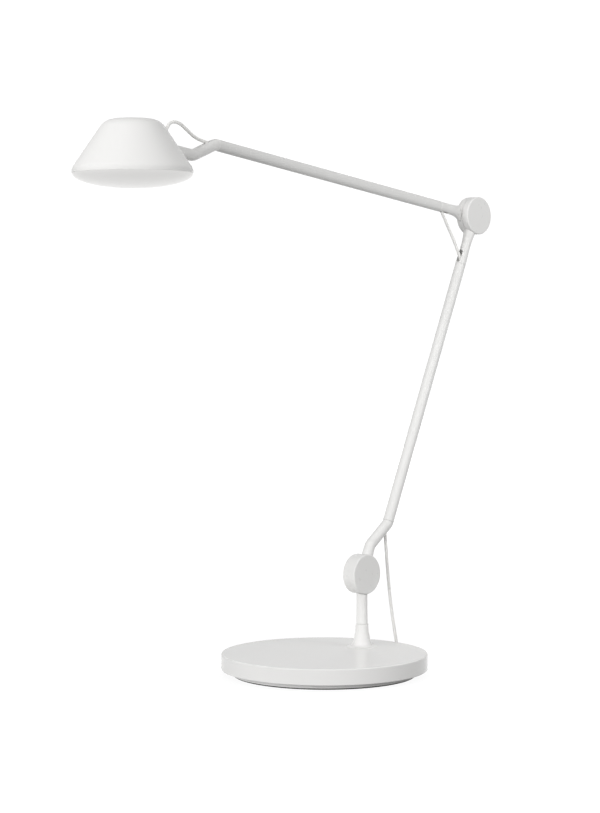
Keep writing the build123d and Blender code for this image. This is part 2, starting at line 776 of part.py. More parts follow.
with BuildPart() as bracket_screws:
    with BuildSketch(Plane.XY.offset(sink_z + sink_t + 2.65)):
        with Locations((bracket_x, 11), (bracket_x, -11)):
            Circle(2.75)
    extrude(amount=2.0)
    with BuildSketch(Plane.XY.offset(sink_z + 0.4)):
        with Locations((bracket_x, 11), (bracket_x, -11)):
            Circle(1.5)
    extrude(amount=sink_t + 2.4)
    with BuildSketch(Plane.XY.offset(sink_z + sink_t + 4.65)):
        with Locations((bracket_x, 11), (bracket_x, -11)):
            RegularPolygon(1.2, 6)
    extrude(amount=-1.2, mode=Mode.SUBTRACT)
bracket_screws.part.label = "bracket_screws"
export_step(bracket_screws.part, "parts/bracket_screws.step")

with BuildPart() as heat_sink:
    with BuildSketch(Plane.XY.offset(sink_z)):
        with Locations((shade_x, 0)):
            Circle(43.0)
    extrude(amount=sink_t)
    with BuildSketch(Plane.XY.offset(sink_z + sink_t)):
        with Locations((shade_x, 0)):
            Circle(9.0)
            Circle(7.2, mode=Mode.SUBTRACT)
    extrude(amount=8)
    with BuildSketch(Plane.XY.offset(sink_z)):
        with Locations((shade_x, 0)):
            with PolarLocations(15, 3, start_angle=60):
                Circle(1.7)
        with Locations((bracket_x, 11), (bracket_x, -11)):
            Circle(1.52)
    extrude(amount=sink_t, mode=Mode.SUBTRACT)
heat_sink.part.label = "heat_sink"
export_step(heat_sink.part, "parts/heat_sink.step")

with BuildPart() as shade_studs:
    with BuildSketch(Plane.XY.offset(sink_z + sink_t + 0.02)):
        with Locations((shade_x, 0)):
            with PolarLocations(15, 3, start_angle=60):
                Circle(3.0)
    extrude(amount=rim_z + 51.15 - (sink_z + sink_t + 0.02))
    with BuildSketch(Plane.XY.offset(sink_z + sink_t)):
        with Locations((shade_x, 0)):
            with PolarLocations(15, 3, start_angle=60):
                Circle(1.52)
    extrude(amount=9, mode=Mode.SUBTRACT)
shade_studs.part.label = "shade_studs"
export_step(shade_studs.part, "parts/shade_studs.step")

board_t = 1.6
board_z = sink_z - 0.03 - board_t

with BuildPart() as led_board:
    with BuildSketch(Plane.XY.offset(board_z)):
        with Locations((shade_x, 0)):
            Circle(30.0)
            with PolarLocations(15, 3, start_angle=60):
                Circle(1.7, mode=Mode.SUBTRACT)
    extrude(amount=board_t)
led_board.part.label = "led_board"
export_step(led_board.part, "parts/led_board.step")

with BuildPart() as led_chips:
    with BuildSketch(Plane.XY.offset(board_z - 0.02)):
        with Locations((shade_x, 0)):
            with PolarLocations(25, 12):
                Rectangle(3.0, 3.0)
            with PolarLocations(8, 4, start_angle=45):
                Rectangle(3.0, 3.0)
    extrude(amount=-0.8)
led_chips.part.label = "led_chips"
export_step(led_chips.part, "parts/led_chips.step")

with BuildPart() as sink_screws:
    with BuildSketch(Plane.XY.offset(board_z - 0.02)):
        with Locations((shade_x, 0)):
            with PolarLocations(15, 3, start_angle=60):
                Circle(2.8)
    extrude(amount=-1.9)
    with BuildSketch(Plane.XY.offset(board_z - 0.1)):
        with Locations((shade_x, 0)):
            with PolarLocations(15, 3, start_angle=60):
                Circle(1.5)
    extrude(amount=12)
    with BuildSketch(Plane.XY.offset(board_z - 1.92)):
        with Locations((shade_x, 0)):
            with PolarLocations(15, 3, start_angle=60):
                RegularPolygon(1.2, 6)
    extrude(amount=1.2, mode=Mode.SUBTRACT)
sink_screws.part.label = "sink_screws"
export_step(sink_screws.part, "parts/sink_screws.step")

with BuildPart() as reflector:
    with BuildSketch(shade_plane):
        with BuildLine():
            Polyline(
                (30.4, 12.3),
                (30.4, 13.9),
                (34.0, 13.9),
                (54.0, 5.8),
                (54.0, 4.8),
                (33.6, 12.9),
                (31.4, 12.9),
                (31.4, 12.3),
                close=True,
            )
        make_face()
    revolve(axis=shade_axis)
reflector.part.label = "reflector"
export_step(reflector.part, "parts/reflector.step")

# Opal dome: closes the shade from below, its collar slides into the rim.
with BuildPart() as diffuser:
    with BuildSketch(shade_plane):
        with BuildLine():
            EllipticalCenterArc((0, -0.1), dome_r, dome_h, start_angle=270, arc_size=90)
            Polyline(
                (dome_r, -0.1),
                (57.5, -0.1),
                (57.5, 1.6),
                (56.1, 4.2),
                (54.9, 4.2),
                (54.9, -1.9),
            )
            Spline(
                (54.9, -1.9),
                (49.8, -5.6),
                (40.0, -8.7),
                (25.0, -11.1),
                (0, -12.4),
                tangents=((-0.3, -1.0), (-1, 0)),
            )
            Line((0, -12.4), (0, -0.1 - dome_h))
        make_face()
    revolve(axis=shade_axis)
diffuser.part.label = "diffuser"
export_step(diffuser.part, "parts/diffuser.step")

with BuildPart() as cord_gland:
    with BuildSketch(Plane(origin=gland_spot - gland_dir * 4.5, z_dir=gland_dir)):
        Circle(2.95)
        Circle(cord_r + 0.03, mode=Mode.SUBTRACT)
    extrude(amount=7.6)
    with BuildSketch(Plane(origin=gland_spot + gland_dir * 1.15, z_dir=gland_dir)):
        Circle(4.2)
        Circle(cord_r + 0.03, mode=Mode.SUBTRACT)
    extrude(amount=2.0)
    fillet(
        cord_gland.edges()
        .filter_by(GeomType.CIRCLE)
        .filter_by(lambda e: abs(e.radius - 4.2) < 0.01)
        .sort_by(Axis(gland_spot, gland_dir))[-1],
        1.0,
    )
cord_gland.part.label = "cord_gland"
export_step(cord_gland.part, "parts/cord_gland.step")

# ---------------------------------------------------------------------------
# Cord: straight runs joined by arcs. Points of the route, in order from the head.
# ---------------------------------------------------------------------------
def arm_point(x, z):
    return Vector(x, 0, z)


def loose_radii(points):
    """The arc at each inner point, as large as its two runs allow."""
    found = []
    for a, b, c in zip(points, points[1:], points[2:]):
        turn = (b - a).get_angle(c - b)
        short = min((b - a).length, (c - b).length)
        found.append(0.45 * short / tan(radians(turn / 2)))
    return found


def path_length(points, radii):
    total = sum((b - a).length for a, b in zip(points, points[1:]))
    for (a, b, c), r in zip(zip(points, points[1:], points[2:]), radii):
        half = radians((b - a).get_angle(c - b)) / 2
        total += 2 * r * half - 2 * r * tan(half)
    return total


def tell(name, points, radii, solid):
    long = path_length(points, radii)
    share = solid.volume / (3.14159265 * cord_r**2 * long)
    lows = min(p.Z for p in points)
    print(
        f"{name}: length {long:.1f}, radii {[round(r, 1) for r in radii]}, "
        f"volume share {share:.4f}, lowest point {lows:.2f}"
    )


# head loop: out of the gland, over the top, into the head gooseneck
loop_pts = [
    gland_spot - gland_dir * 2.4,
    gland_spot + gland_dir * 8.4,
    arm_point(-221.8, 575.4),
    arm_point(-209.8, 575.4),
    arm_point(-199.4, 568.2),
    at(head_plane, 24.6, 0),
    at(head_plane, 9.0, 0),
]
loop_radii = loose_radii(loop_pts)

with BuildPart() as cord_head_loop:
    with BuildLine():
        FilletPolyline(*loop_pts, radius=loop_radii)
    with BuildSketch(Plane(origin=loop_pts[0], z_dir=loop_pts[1] - loop_pts[0])):
        Circle(cord_r)
    sweep()
cord_head_loop.part.label = "cord_head_loop"
export_step(cord_head_loop.part, "parts/cord_head_loop.step")
tell("cord_head_loop", loop_pts, loop_radii, cord_head_loop.part)

# inside the upper arm, then out of the slot
up_turn = at(upper_plane, 62.0, 0)
low_turn = at(lower_end_plane, 57.4, 0)
span_a = arm_point(201.0, 486.9)
span_b = arm_point(215.4, 466.2)
up_exit = up_turn + (span_a - up_turn) * 0.48
low_entry = low_turn + (span_b - low_turn) * 0.5

upper_pts = [at(head_plane, 9.0, 0), up_turn, up_exit]
upper_radii = [8.0]
with BuildPart() as cord_upper_run:
    with BuildLine():
        FilletPolyline(*upper_pts, radius=upper_radii)
    with BuildSketch(Plane(origin=upper_pts[0], z_dir=upper_pts[1] - upper_pts[0])):
        Circle(cord_r)
    sweep()
cord_upper_run.part.label = "cord_upper_run"
export_step(cord_upper_run.part, "parts/cord_upper_run.step")
tell("cord_upper_run", upper_pts, upper_radii, cord_upper_run.part)

# free span across the elbow
span_pts = [up_exit, span_a, span_b, low_entry]
span_radii = loose_radii(span_pts)
with BuildPart() as cord_elbow_span:
    with BuildLine():
        FilletPolyline(*span_pts, radius=span_radii)
    with BuildSketch(Plane(origin=span_pts[0], z_dir=span_pts[1] - span_pts[0])):
        Circle(cord_r)
    sweep()
cord_elbow_span.part.label = "cord_elbow_span"
export_step(cord_elbow_span.part, "parts/cord_elbow_span.step")
tell("cord_elbow_span", span_pts, span_radii, cord_elbow_span.part)

# inside the lower arm, then out of the underside of the gooseneck
low_out = at(lower_plane, 53.6, crank)
drop_2 = arm_point(98.9, 121.0)
drop_3 = arm_point(101.8, 94.6)
drop_4 = arm_point(105.4, 68.6)
drop_5 = arm_point(110.2, 44.6)
drop_6 = arm_point(115.7, 20.6)
arm_exit = low_out + (drop_2 - low_out) * 0.42
post_mid = drop_3 + (drop_4 - drop_3) * 0.5
base_mid = drop_5 + (drop_6 - drop_5) * 0.5

lower_pts = [low_entry, low_turn, low_out, arm_exit]
lower_radii = [8.0, 11.0]
with BuildPart() as cord_lower_run:
    with BuildLine():
        FilletPolyline(*lower_pts, radius=lower_radii)
    with BuildSketch(Plane(origin=lower_pts[0], z_dir=lower_pts[1] - lower_pts[0])):
        Circle(cord_r)
    sweep()
cord_lower_run.part.label = "cord_lower_run"
export_step(cord_lower_run.part, "parts/cord_lower_run.step")
tell("cord_lower_run", lower_pts, lower_radii, cord_lower_run.part)

# drop behind the post, in two pieces
drop_a = [arm_exit, drop_2, drop_3, post_mid]
drop_a_radii = loose_radii(drop_a)
with BuildPart() as cord_drop_upper:
    with BuildLine():
        FilletPolyline(*drop_a, radius=drop_a_radii)
    with BuildSketch(Plane(origin=drop_a[0], z_dir=drop_a[1] - drop_a[0])):
        Circle(cord_r)
    sweep()
cord_drop_upper.part.label = "cord_drop_upper"
export_step(cord_drop_upper.part, "parts/cord_drop_upper.step")
tell("cord_drop_upper", drop_a, drop_a_radii, cord_drop_upper.part)

drop_b = [post_mid, drop_4, drop_5, base_mid]
drop_b_radii = loose_radii(drop_b)
with BuildPart() as cord_drop_lower:
    with BuildLine():
        FilletPolyline(*drop_b, radius=drop_b_radii)
    with BuildSketch(Plane(origin=drop_b[0], z_dir=drop_b[1] - drop_b[0])):
        Circle(cord_r)
    sweep()
cord_drop_lower.part.label = "cord_drop_lower"
export_step(cord_drop_lower.part, "parts/cord_drop_lower.step")
tell("cord_drop_lower", drop_b, drop_b_radii, cord_drop_lower.part)

# cord switch: lies on the table behind the base
switch_at = Vector(121.0, 55.0, 0)
switch_dir = Vector(-0.25, 0.9682458, 0)
switch_side = Vector(0.9682458, 0.25, 0)
switch_cord_z = 4.0
switch_long, switch_wide, switch_high = 42.0, 16.0, 10.2
rocker_z = 7.4
switch_in = switch_at - switch_dir * 29.0 + Vector(0, 0, switch_cord_z)
switch_out = switch_at + switch_dir * 29.0 + Vector(0, 0, switch_cord_z)
switch_top = Plane(origin=switch_at, x_dir=switch_dir, z_dir=(0, 0, 1))

with BuildPart() as switch_housing:
    with BuildSketch(switch_top.offset(0.1)):
        RectangleRounded(switch_long, switch_wide, 5.0)
    extrude(amount=switch_high - 0.1)
    fillet(switch_housing.faces().sort_by(Axis.Z)[-1].edges(), 1.6)
    fillet(switch_housing.faces().sort_by(Axis.Z)[0].edges(), 0.8)
    # tapered sleeves at both ends
    with BuildSketch(
        Plane(origin=switch_in, x_dir=switch_side, z_dir=switch_dir)
    ) as sleeve_a:
        Circle(2.3)
    with BuildSketch(
        Plane(origin=switch_in + switch_dir * 9, x_dir=switch_side, z_dir=switch_dir)
    ) as sleeve_b:
        Circle(3.6)
    loft()
    with BuildSketch(Plane(origin=switch_out - switch_dir * 9, x_dir=switch_side, z_dir=switch_dir)):
        Circle(3.6)
    with BuildSketch(Plane(origin=switch_out, x_dir=switch_side, z_dir=switch_dir)):
        Circle(2.3)
    loft()
    # room inside, opening for the rocker, cord holes and the rocker's pivot hole
    with BuildSketch(switch_top.offset(1.8)):
        RectangleRounded(36.0, 11.6, 2.0)
    extrude(amount=6.9, mode=Mode.SUBTRACT)
    with BuildSketch(switch_top.offset(5.0)):
        RectangleRounded(15.4, 9.0, 1.2)
    extrude(amount=8, mode=Mode.SUBTRACT)
    with BuildSketch(Plane(origin=switch_in - switch_dir, x_dir=switch_side, z_dir=switch_dir)):
        Circle(cord_r + 0.05)
    extrude(amount=70, mode=Mode.SUBTRACT)
    with BuildSketch(
        Plane(
            origin=switch_at + Vector(0, 0, rocker_z) - switch_side * 7.0,
            x_dir=switch_dir,
            z_dir=switch_side,
        )
    ):
        Circle(1.04)
    extrude(amount=14, mode=Mode.SUBTRACT)
switch_housing.part.label = "switch_housing"
export_step(switch_housing.part, "parts/switch_housing.step")

with BuildPart() as switch_rocker:
    with BuildSketch(
        Plane(
            origin=switch_at + Vector(0, 0, rocker_z) - switch_side * 4.1,
            x_dir=switch_dir,
            z_dir=switch_side,
        )
    ) as rocker_side:
        with BuildLine():
            Polyline(
                (-6.7, 1.2),
                (-4.4, -0.9),
                (4.4, -0.9),
                (6.7, 1.2),
                (6.6, 3.7),
                (0, 2.95),
                (-6.6, 3.7),
                close=True,
            )
        make_face()
    extrude(amount=8.2)
    with BuildSketch(
        Plane(
            origin=switch_at + Vector(0, 0, rocker_z) - switch_side * 6.8,
            x_dir=switch_dir,
            z_dir=switch_side,
        )
    ):
        Circle(1.0)
    extrude(amount=13.6)
switch_rocker.part.label = "switch_rocker"
export_step(switch_rocker.part, "parts/switch_rocker.step")

# from the drop down to the table and into the switch
floor_pts = [
    base_mid,
    drop_6,
    Vector(120.6, 1.3, 8.0),
    Vector(126.2, 7.1, 2.5),
    switch_in - switch_dir * 10.4,
    switch_in,
]
floor_radii = loose_radii(floor_pts)
with BuildPart() as cord_floor_lead:
    with BuildLine():
        FilletPolyline(*floor_pts, radius=floor_radii)
    with BuildSketch(Plane(origin=floor_pts[0], z_dir=floor_pts[1] - floor_pts[0])):
        Circle(cord_r)
    sweep()
cord_floor_lead.part.label = "cord_floor_lead"
export_step(cord_floor_lead.part, "parts/cord_floor_lead.step")
tell("cord_floor_lead", floor_pts, floor_radii, cord_floor_lead.part)

# coil of the spare length: two layers of seven turns
coil_at = Vector(85.1, 119.0, 0)
coil_mid_r = 20.3
coil_turns = 7
coil_low = 0.9
coil_out_r = coil_mid_r + coil_turns / 2 * cord_d
coil_in_r = coil_mid_r - coil_turns / 2 * cord_d
layer_1 = coil_low + cord_r
layer_2 = layer_1 + cord_d
turn_r = coil_out_r - cord_r


def on_coil(angle, z):
    a = radians(angle)
    return coil_at + Vector(turn_r * cos(a), turn_r * sin(a), z)


with BuildPart() as cord_coil:
    with BuildSketch(Plane.XY.offset(coil_low)):
        with Locations((coil_at.X, coil_at.Y)):
            Circle(coil_out_r)
            Circle(coil_in_r, mode=Mode.SUBTRACT)
    extrude(amount=2 * cord_d)
    fillet(cord_coil.edges().filter_by(GeomType.CIRCLE), 1.5)
cord_coil.part.label = "cord_coil"
export_step(cord_coil.part, "parts/cord_coil.step")

tie_angle = 215.0
tie_plane = Plane(
    origin=coil_at + Vector(0, 0, coil_low + cord_d),
    x_dir=(cos(radians(tie_angle)), sin(radians(tie_angle)), 0),
    z_dir=(-sin(radians(tie_angle)), cos(radians(tie_angle)), 0),
)
with BuildPart() as coil_tie:
    with BuildSketch(tie_plane.offset(-3.0)):
        with Locations((coil_mid_r - 0.4, 0)):
            RectangleRounded(coil_turns * cord_d + 2.6, 2 * cord_d + 1.7, 2.0)
            RectangleRounded(coil_turns * cord_d + 1.2, 2 * cord_d + 0.1, 1.2, mode=Mode.SUBTRACT)
    extrude(amount=6.0)
coil_tie.part.label = "coil_tie"
export_step(coil_tie.part, "parts/coil_tie.step")

coil_start = on_coil(-10, layer_1)
switch_pts = [
    switch_out,
    switch_out + switch_dir * 8.5,
    Vector(112.6, 101.0, 3.0),
    coil_start,
]
switch_radii = loose_radii(switch_pts)
with BuildPart() as cord_switch_lead:
    with BuildLine():
        FilletPolyline(*switch_pts, radius=switch_radii)
    with BuildSketch(Plane(origin=switch_pts[0], z_dir=switch_pts[1] - switch_pts[0])):
        Circle(cord_r)
    sweep()
cord_switch_lead.part.label = "cord_switch_lead"
export_step(cord_switch_lead.part, "parts/cord_switch_lead.step")
tell("cord_switch_lead", switch_pts, switch_radii, cord_switch_lead.part)

# low-voltage plug: sleeve, grip and barrel, lying on the table
plug_dir = Vector(-0.975, -0.2222, 0).normalized()
plug_z = 4.9
plug_start = Vector(52.6, 142.1, plug_z)
plug_side = Vector(-plug_dir.Y, plug_dir.X, 0)


def on_plug(along):
    return Plane(
        origin=plug_start + plug_dir * along, x_dir=plug_side, z_dir=plug_dir
    )


with BuildPart() as plug_sleeve:
    with BuildSketch(on_plug(0)):
        Circle(2.2)
    with BuildSketch(on_plug(14)):
        Circle(3.4)
    loft()
    with BuildSketch(on_plug(14)):
        Circle(3.4)
    extrude(amount=4)
    with BuildSketch(on_plug(-0.5)):
        Circle(cord_r + 0.03)
    extrude(amount=13, mode=Mode.SUBTRACT)
plug_sleeve.part.label = "plug_sleeve"
export_step(plug_sleeve.part, "parts/plug_sleeve.step")

with BuildPart() as plug_body:
    with BuildSketch(on_plug(15)):
        Circle(4.75)
    extrude(amount=22)
    fillet(plug_body.edges().filter_by(GeomType.CIRCLE).sort_by(Axis(plug_start, plug_dir))[0], 1.2)
    fillet(plug_body.edges().filter_by(GeomType.CIRCLE).sort_by(Axis(plug_start, plug_dir))[-1], 0.6)
    with BuildSketch(on_plug(14.9)):
        Circle(3.42)
    extrude(amount=3.2, mode=Mode.SUBTRACT)
    with BuildSketch(on_plug(37)):
        Circle(2.77)
    extrude(amount=-8, mode=Mode.SUBTRACT)
plug_body.part.label = "plug_body"
export_step(plug_body.part, "parts/plug_body.step")

with BuildPart() as plug_tip:
    with BuildSketch(on_plug(29.1)):
        Circle(2.75)
    extrude(amount=17.4)
    with BuildSketch(on_plug(46.5)):
        Circle(1.05)
    extrude(amount=-9.5, mode=Mode.SUBTRACT)
    fillet(plug_tip.edges().filter_by(GeomType.CIRCLE).sort_by(Axis(plug_start, plug_dir))[-1], 0.3)
plug_tip.part.label = "plug_tip"
export_step(plug_tip.part, "parts/plug_tip.step")

coil_end = on_coil(100, layer_2)
plug_pts = [
    coil_end,
    Vector(70.2, 147.3, 4.7),
    plug_start - plug_dir * 8.6,
    plug_start,
]
plug_radii = loose_radii(plug_pts)
with BuildPart() as cord_plug_lead:
    with BuildLine():
        FilletPolyline(*plug_pts, radius=plug_radii)
    with BuildSketch(Plane(origin=plug_pts[0], z_dir=plug_pts[1] - plug_pts[0])):
        Circle(cord_r)
    sweep()
cord_plug_lead.part.label = "cord_plug_lead"
export_step(cord_plug_lead.part, "parts/cord_plug_lead.step")
tell("cord_plug_lead", plug_pts, plug_radii, cord_plug_lead.part)

print("coil length", 2 * coil_turns * 2 * 3.14159265 * coil_mid_r)
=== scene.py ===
import math

import bpy
import numpy as np
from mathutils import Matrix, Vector


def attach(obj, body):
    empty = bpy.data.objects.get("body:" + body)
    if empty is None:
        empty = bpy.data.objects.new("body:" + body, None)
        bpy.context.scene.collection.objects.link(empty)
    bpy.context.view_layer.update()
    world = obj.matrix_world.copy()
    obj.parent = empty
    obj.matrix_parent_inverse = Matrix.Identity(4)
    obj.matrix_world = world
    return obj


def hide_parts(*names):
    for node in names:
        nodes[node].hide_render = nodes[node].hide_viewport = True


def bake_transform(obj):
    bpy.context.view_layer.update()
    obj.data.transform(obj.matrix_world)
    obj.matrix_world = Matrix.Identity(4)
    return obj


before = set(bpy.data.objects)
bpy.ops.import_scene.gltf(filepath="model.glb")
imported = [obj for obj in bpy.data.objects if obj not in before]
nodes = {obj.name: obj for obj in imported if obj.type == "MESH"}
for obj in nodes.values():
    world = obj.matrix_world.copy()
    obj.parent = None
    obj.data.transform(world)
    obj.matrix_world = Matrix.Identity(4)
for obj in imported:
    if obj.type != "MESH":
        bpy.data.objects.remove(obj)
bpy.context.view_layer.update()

scene = bpy.context.scene
MM = 0.001

# ---------------------------------------------------------------------------
# Camera: level, with the horizon a little above the middle of the picture
# ---------------------------------------------------------------------------
azimuth = math.radians(-45.85)
toward = Vector((math.sin(azimuth), -math.cos(azimuth), 0))
right = Vector((math.cos(azimuth), math.sin(azimuth), 0))
cam_data = bpy.data.cameras.new("camera")
cam_data.sensor_width = 36.0
cam_data.lens = 95.459
cam_data.shift_y = -0.1124
cam_data.clip_start, cam_data.clip_end = 0.05, 200.0
cam = bpy.data.objects.new("camera", cam_data)
scene.collection.objects.link(cam)
cam.location = toward * 2.3006 - right * 0.02609 + Vector((0, 0, 0.38306))
cam.rotation_mode = "QUATERNION"
cam.rotation_quaternion = (-toward).to_track_quat("-Z", "Y")
scene.camera = cam

# ---------------------------------------------------------------------------
# Mesh helpers
# ---------------------------------------------------------------------------


def mesh_piece(name, verts, faces, uvs=None, smooth=True):
    """A mesh object from points, faces and one (u, v) for each face corner."""
    me = bpy.data.meshes.new(name)
    me.from_pydata([tuple(v) for v in verts], [], [tuple(f) for f in faces])
    if uvs is not None:
        layer = me.uv_layers.new(name="UVMap")
        layer.data.foreach_set("uv", np.asarray(uvs, np.float32).ravel())
    if smooth:
        me.polygons.foreach_set("use_smooth", [True] * len(me.polygons))
    me.update()
    ob = bpy.data.objects.new(name, me)
    scene.collection.objects.link(ob)
    return ob


def smooth_line(points, fine):
    """Points along the smooth line that has these control points."""
    data = bpy.data.curves.new("line", "CURVE")
    data.dimensions = "3D"
    data.resolution_u = fine
    s = data.splines.new("NURBS")
    s.points.add(len(points) - 1)
    for p, q in zip(s.points, points):
        p.co = (q[0], q[1], q[2], 1.0)
    s.order_u = 3
    s.use_endpoint_u = True
    s.resolution_u = fine
    bare = bpy.data.objects.new("line", data)
    me = bpy.data.meshes.new_from_object(bare)
    line = [v.co.copy() for v in me.vertices]
    bpy.data.meshes.remove(me)
    bpy.data.objects.remove(bare)
    bpy.data.curves.remove(data)
    kept = [line[0]]
    for p in line[1:]:
        if (p - kept[-1]).length > 2e-5:
            kept.append(p)
    return kept


def tube_along(name, line, radius, sides=20):
    """A round tube that follows the line, closed at both ends. v runs along it in turns of its own girth."""
    n = len(line)
    tang = [(line[min(i + 1, n - 1)] - line[max(i - 1, 0)]).normalized() for i in range(n)]
    side = tang[0].orthogonal().normalized()
    verts, along, run = [], [], 0.0
    for i in range(n):
        if i:
            run += (line[i] - line[i - 1]).length
            turn = tang[i - 1].rotation_difference(tang[i])
            side = (turn @ side).normalized()
            side = (side - tang[i] * side.dot(tang[i])).normalized()
        up = tang[i].cross(side)
        along.append(run / (2 * math.pi * radius))
        for k in range(sides):
            a = 2 * math.pi * k / sides
            verts.append(line[i] + (side * math.cos(a) + up * math.sin(a)) * radius)
    faces, uvs = [], []
    for i in range(n - 1):
        for k in range(sides):
            k2 = (k + 1) % sides
            faces.append((i * sides + k, i * sides + k2, (i + 1) * sides + k2, (i + 1) * sides + k))
            u0, u1 = k / sides, (k + 1) / sides
            uvs += [(u0, along[i]), (u1, along[i]), (u1, along[i + 1]), (u0, along[i + 1])]
    faces.append(tuple(range(sides - 1, -1, -1)))
    uvs += [(0.5, along[0])] * sides
    faces.append(tuple((n - 1) * sides + k for k in range(sides)))
    uvs += [(0.5, along[-1])] * sides
    return mesh_piece(name, verts, faces, uvs)


def spun(name, start, axis, profile, sides=64, flutes=0, flute_depth=0.0, flute_span=(0, 0)):
    """A closed ring or solid: the profile (along, radius) in mm goes round the axis. Radius 0 at an end closes it in a point.
    Between the two ends of flute_span the radius is scalloped."""
    axis = Vector(axis).normalized()
    side = axis.orthogonal().normalized()
    up = axis.cross(side)
    start = Vector(start)
    verts, rings = [], []
    for along, r in profile:
        base = start + axis * (along * MM)
        if r < 1e-6:
            rings.append([len(verts)] * sides)
            verts.append(base)
            continue
        ring = []
        for k in range(sides):
            a = 2 * math.pi * k / sides
            rr = r
            if flutes and flute_span[0] <= along <= flute_span[1]:
                rr -= flute_depth * (0.5 + 0.5 * math.cos(flutes * a)) ** 2
            ring.append(len(verts))
            verts.append(base + (side * math.cos(a) + up * math.sin(a)) * (rr * MM))
        rings.append(ring)
    closed = profile[0][1] > 1e-6
    faces = []
    pairs = list(zip(rings, rings[1:])) + ([(rings[-1], rings[0])] if closed else [])
    for a, b in pairs:
        for k in range(sides):
            k2 = (k + 1) % sides
            quad = []
            for v in (a[k], b[k], b[k2], a[k2]):
                if v not in quad:
                    quad.append(v)
            if len(quad) > 2:
                faces.append(tuple(quad))
    ob = mesh_piece(name, verts, faces)
    return ob


# ---------------------------------------------------------------------------
# Cord: control points of the route, in mm
# ---------------------------------------------------------------------------
CORD_R = 1.7


def metres(points):
    return [Vector(p) * MM for p in points]


loop_points = metres([
    (-236.43, 0, 557.27), (-228.92, 0, 565.04), (-222.8, 0, 575.3), (-210.9, 0, 575.4),
    (-199.6, 0, 568.2), (-185.93, 0, 559.37), (-170.49, 0, 557.16),
])
span_points = metres([
    (194.57, 0, 496.79), (201.0, 0, 486.9), (215.4, 0, 466.2), (221.28, 0, 455.36),
])
drop_points = metres([
    (97.64, 0, 134.34), (98.9, 0, 121.0), (101.8, 0, 94.6), (103.6, 0, 81.6),
])

switch_at = Vector((121.0, 55.0, 0))
switch_dir = Vector((-0.25, 0.9682458, 0))
switch_in = switch_at - switch_dir * 29 + Vector((0, 0, 4.0))
switch_out = switch_at + switch_dir * 29 + Vector((0, 0, 4.0))
plug_start = Vector((52.6, 142.1, 4.9))
plug_dir = Vector((-0.975, -0.2222, 0)).normalized()

# spare length: in on the table, up at the middle, out on top
coil_at = Vector((85.1, 119.0, 0))
coil_points = []
per_turn = 18
turns_in, turns_up, turns_out = 6.0, 1.0 + 110 / 360, 6.0
steps = round((turns_in + turns_up + turns_out) * per_turn)
for i in range(steps + 1):
    t = (turns_in + turns_up + turns_out) * i / steps
    a = math.radians(-10) + 2 * math.pi * t
    if t < turns_in:
        r, z = 30.5 - 3.4 * t, 2.6
    elif t < turns_in + turns_up:
        f = (t - turns_in) / turns_up
        r, z = 10.1, 2.6 + 3.4 * f * f * (3 - 2 * f)
    else:
        r, z = 10.1 + 3.4 * (t - turns_in - turns_up), 6.0
    coil_points.append(coil_at + Vector((r * math.cos(a), r * math.sin(a), z)))

lead_points = metres(
    [
        Vector((103.6, 0, 81.6)), Vector((105.4, 0, 68.6)), Vector((110.2, 0, 44.6)), Vector((115.7, 0, 20.6)),
        Vector((120.6, 1.3, 8.0)), Vector((126.2, 7.1, 2.5)),
        switch_in - switch_dir * 10.4, switch_in,
        switch_in + switch_dir * 17.0 - Vector((0, 0, 0.35)), switch_out - switch_dir * 17.0 - Vector((0, 0, 0.35)),
        switch_out, switch_out + switch_dir * 8.5,
        Vector((112.6, 101.0, 3.0)),
    ]
    + coil_points
    + [Vector((70.2, 147.3, 4.7)), plug_start - plug_dir * 8.6, plug_start, plug_start + plug_dir * 5.0]
)

loop_line = smooth_line(loop_points, 16)
span_line = smooth_line(span_points, 16)
drop_line = smooth_line(drop_points, 16)
lead_line = smooth_line(lead_points, 10)

cord_loop = tube_along("flex_head_loop", loop_line, CORD_R * MM, 24)
cord_span = tube_along("flex_elbow_span", span_line, CORD_R * MM, 24)
cord_drop = tube_along("flex_drop", drop_line, CORD_R * MM, 24)
cord_lead = tube_along("flex_lead", lead_line, CORD_R * MM, 20)


def measure(line):
    return sum((b - a).length for a, b in zip(line, line[1:]))


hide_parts("cord_head_loop")
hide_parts("cord_elbow_span")
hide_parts("cord_drop_upper")
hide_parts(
    "cord_drop_lower", "cord_floor_lead", "cord_switch_lead", "cord_coil", "cord_plug_lead"
)

# ---------------------------------------------------------------------------
# Connector at the end of the cord
# ---------------------------------------------------------------------------
ribs = [(0.0, 1.74), (0.0, 2.05), (0.12, 2.2)]
place = 1.6
while place < 13.0:
    r = 2.2 + 1.2 * place / 14
    ribs += [(place, r), (place + 0.12, r - 0.5), (place + 0.75, r - 0.48), (place + 0.87, r + 0.06)]
    place += 2.1
ribs += [(14.0, 3.4), (15.6, 3.4), (18.0, 3.4), (18.0, 1.74)]
plug_sleeve = spun("connector_sleeve", plug_start * MM, plug_dir, ribs, 56)
body = [(15.0, 3.44), (15.0, 3.7), (15.25, 4.25), (15.7, 4.6), (16.2, 4.75), (17.6, 4.75)]
body += [(18.2 + 0.25 * i, 4.75) for i in range(57)]
body += [(33.2, 4.75), (36.2, 4.75), (36.7, 4.6), (37.0, 4.2), (37.0, 2.78), (29.3, 2.78), (29.3, 0.0)]
plug_body = spun(
    "connector_grip", plug_start * MM, plug_dir,
    [(18.15, 0.0), (18.15, 3.44)] + body, 120, flutes=20, flute_depth=0.32, flute_span=(18.9, 31.9),
)
plug_tip = spun(
    "connector_barrel", plug_start * MM, plug_dir,
    [(29.4, 2.2), (29.4, 2.75), (46.2, 2.75), (46.42, 2.68), (46.5, 2.5), (46.5, 2.28), (46.35, 2.2)], 56,
)
